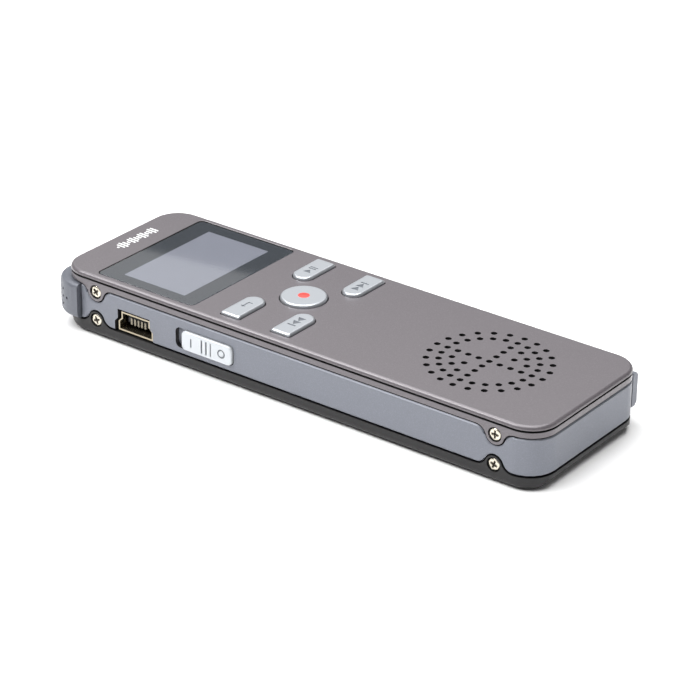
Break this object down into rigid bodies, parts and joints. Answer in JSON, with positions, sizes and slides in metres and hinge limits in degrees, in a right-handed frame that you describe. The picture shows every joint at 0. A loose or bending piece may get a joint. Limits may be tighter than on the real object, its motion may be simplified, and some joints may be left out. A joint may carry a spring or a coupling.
{
  "type": "handheld voice recorder",
  "caption": "Slim handheld voice recorder with a lacquered metal case, display window, round record key, side keys, speaker grille, USB socket and sliding power switch.",
  "frame": {"origin": "on the flat outside of the back, midway between the two pairs of side screws", "axes": "+Z out through the display and keys, +Y along the length towards the microphones, -X towards the USB socket and power slide"},
  "size_m": [0.034, 0.1052, 0.0126],
  "materials": {
    "gunmetal": "satin",
    "silver": "satin",
    "window": "gloss",
    "lcd": "satin",
    "backlight": "satin",
    "keys": "satin",
    "record_mark": "gloss",
    "screws": "polished",
    "socket_steel": "polished",
    "contacts": "polished",
    "copper": "satin",
    "black_plastic": "satin",
    "rubber": "matte",
    "foam": "matte",
    "cloth": "matte",
    "cone": "matte",
    "steel": "satin",
    "board": "satin",
    "battery": "satin"
  },
  "bodies": {
    "case": {"front_cover": "gunmetal", "rear_cover": "gunmetal", "mid_frame": "silver", "mic_cap": "silver", "lanyard_bar": "silver", "display_window": "window", "window_adhesive": "foam", "lcd_panel": "lcd", "lcd_backlight": "backlight", "lcd_flex": "copper", "keypad_membrane": "rubber", "dome_play": "steel", "dome_next": "steel", "dome_menu": "steel", "dome_previous": "steel", "dome_record": "steel", "main_board": "board", "processor_chip": "black_plastic", "memory_chip": "black_plastic", "crystal_can": "steel", "usb_shell": "socket_steel", "usb_tongue": "black_plastic", "usb_contact_1": "contacts", "usb_contact_2": "contacts", "usb_contact_3": "contacts", "usb_contact_4": "contacts", "usb_contact_5": "contacts", "switch_body": "black_plastic", "speaker_cloth": "cloth", "speaker_gasket": "foam", "speaker_frame": "steel", "speaker_magnet": "steel", "speaker_cone": "cone", "voice_coil": "copper", "mic_capsule_left": "steel", "mic_capsule_right": "steel", "mic_boot_left": "rubber", "mic_boot_right": "rubber", "battery_cell": "battery", "battery_guard_board": "board", "battery_pad": "foam", "earphone_jack": "black_plastic", "screw_front_left_near": "screws", "screw_front_left_far": "screws", "screw_front_right_near": "screws", "screw_front_right_far": "screws", "screw_rear_left_near": "screws", "screw_rear_left_far": "screws", "screw_rear_right_near": "screws", "screw_rear_right_far": "screws"},
    "play_key": {"key_play": "keys"},
    "next_key": {"key_next": "keys"},
    "menu_key": {"key_menu": "keys"},
    "previous_key": {"key_previous": "keys"},
    "record_key": {"key_record": "keys", "record_dot": "record_mark"},
    "power_slide": {"power_knob": "keys", "switch_lever": "steel"}
  },
  "joints": [
    {"name": "play_key_press", "type": "slide", "parent": "case", "child": "play_key", "axis": [0, 0, -1], "range_m": [0, 0.00035], "stiffness_N_per_m": 400},
    {"name": "next_key_press", "type": "slide", "parent": "case", "child": "next_key", "axis": [0, 0, -1], "range_m": [0, 0.00035], "stiffness_N_per_m": 400},
    {"name": "menu_key_press", "type": "slide", "parent": "case", "child": "menu_key", "axis": [0, 0, -1], "range_m": [0, 0.00035], "stiffness_N_per_m": 400},
    {"name": "previous_key_press", "type": "slide", "parent": "case", "child": "previous_key", "axis": [0, 0, -1], "range_m": [0, 0.00035], "stiffness_N_per_m": 400},
    {"name": "record_key_press", "type": "slide", "parent": "case", "child": "record_key", "axis": [0, 0, -1], "range_m": [0, 0.00035], "stiffness_N_per_m": 400},
    {"name": "power_slide_travel", "type": "slide", "parent": "case", "child": "power_slide", "axis": [0, 1, 0], "range_m": [0, 0.0015]}
  ]
}
